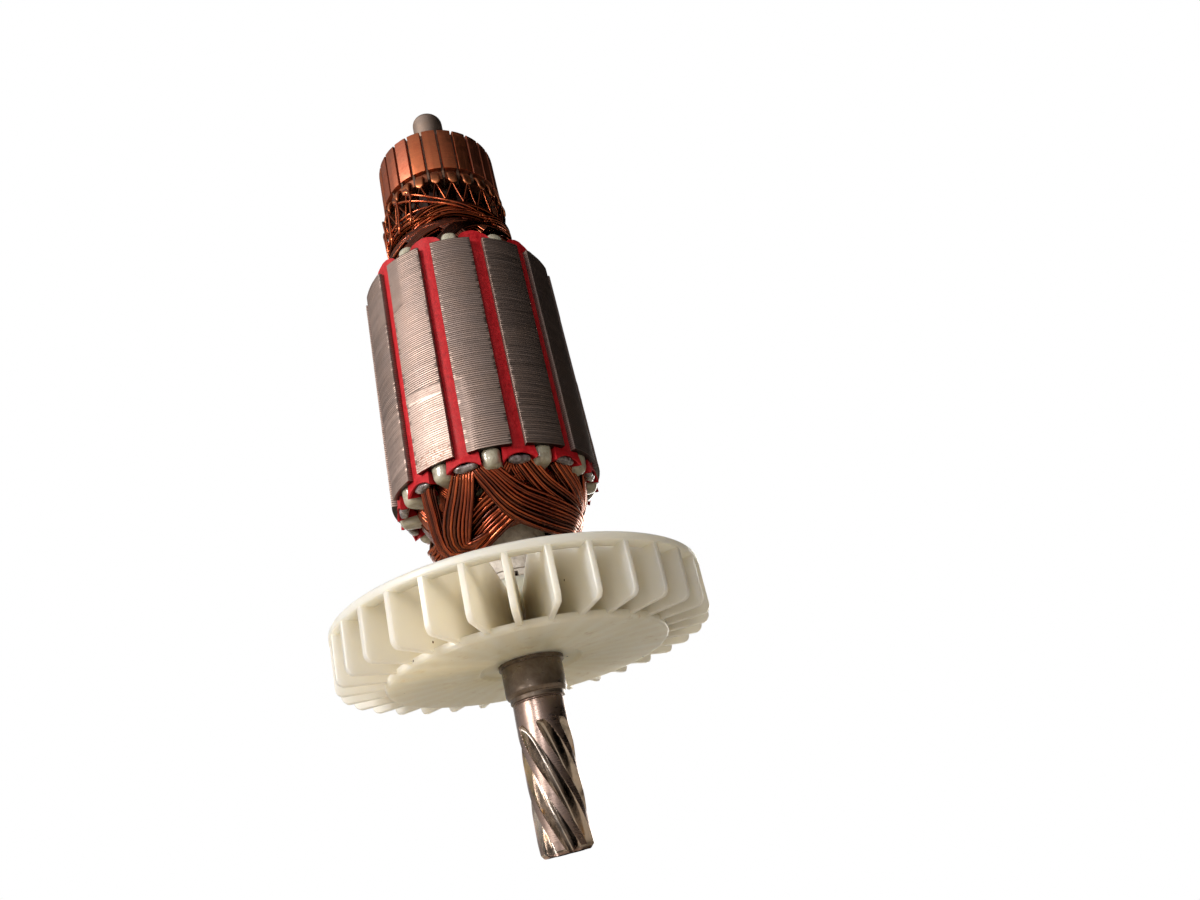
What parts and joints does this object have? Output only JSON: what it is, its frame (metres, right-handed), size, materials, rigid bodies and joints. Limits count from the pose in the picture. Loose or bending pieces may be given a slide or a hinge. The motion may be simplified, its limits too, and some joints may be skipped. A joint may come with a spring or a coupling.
{
  "type": "motor armature",
  "caption": "Wound motor armature with a helical pinion cut on its shaft, a moulded cooling fan, a slotted lamination stack and a copper commutator with hooked bars.",
  "frame": {"origin": "middle of the pinion's flat end face, the lowest point of the part", "axes": "+Z along the shaft from the pinion to the commutator; +X and +Y across the shaft"},
  "size_m": [0.0726, 0.0726, 0.188],
  "materials": {
    "shaft_steel": "worn",
    "lamination_steel": "turned, matte",
    "end_insulator": "varnished",
    "moulding": "matte",
    "enamelled_wire": "glossy enamel",
    "rough_sleeve": "rough",
    "fan_nylon": "satin, translucent",
    "red_paper": "matte",
    "commutator_copper": "turned copper"
  },
  "bodies": {
    "root": {"shaft": "shaft_steel", "lamination_stack": "lamination_steel", "insulator_upper": "end_insulator", "insulator_lower": "end_insulator", "commutator_core": "moulding", "lead_band": "enamelled_wire", "fan_sleeve": "rough_sleeve", "fan": "fan_nylon", "slot_paper_01": "red_paper", "slot_paper_02": "red_paper", "slot_paper_03": "red_paper", "slot_paper_04": "red_paper", "slot_paper_05": "red_paper", "slot_paper_06": "red_paper", "slot_paper_07": "red_paper", "slot_paper_08": "red_paper", "slot_paper_09": "red_paper", "slot_paper_10": "red_paper", "slot_paper_11": "red_paper", "slot_paper_12": "red_paper", "coil_01": "enamelled_wire", "coil_02": "enamelled_wire", "coil_03": "enamelled_wire", "coil_04": "enamelled_wire", "coil_05": "enamelled_wire", "coil_06": "enamelled_wire", "coil_07": "enamelled_wire", "coil_08": "enamelled_wire", "coil_09": "enamelled_wire", "coil_10": "enamelled_wire", "coil_11": "enamelled_wire", "coil_12": "enamelled_wire", "commutator_bar_01": "commutator_copper", "commutator_bar_02": "commutator_copper", "commutator_bar_03": "commutator_copper", "commutator_bar_04": "commutator_copper", "commutator_bar_05": "commutator_copper", "commutator_bar_06": "commutator_copper", "commutator_bar_07": "commutator_copper", "commutator_bar_08": "commutator_copper", "commutator_bar_09": "commutator_copper", "commutator_bar_10": "commutator_copper", "commutator_bar_11": "commutator_copper", "commutator_bar_12": "commutator_copper", "commutator_bar_13": "commutator_copper", "commutator_bar_14": "commutator_copper", "commutator_bar_15": "commutator_copper", "commutator_bar_16": "commutator_copper", "commutator_bar_17": "commutator_copper", "commutator_bar_18": "commutator_copper", "commutator_bar_19": "commutator_copper", "commutator_bar_20": "commutator_copper", "commutator_bar_21": "commutator_copper", "commutator_bar_22": "commutator_copper", "commutator_bar_23": "commutator_copper", "commutator_bar_24": "commutator_copper"}
  },
  "joints": []
}
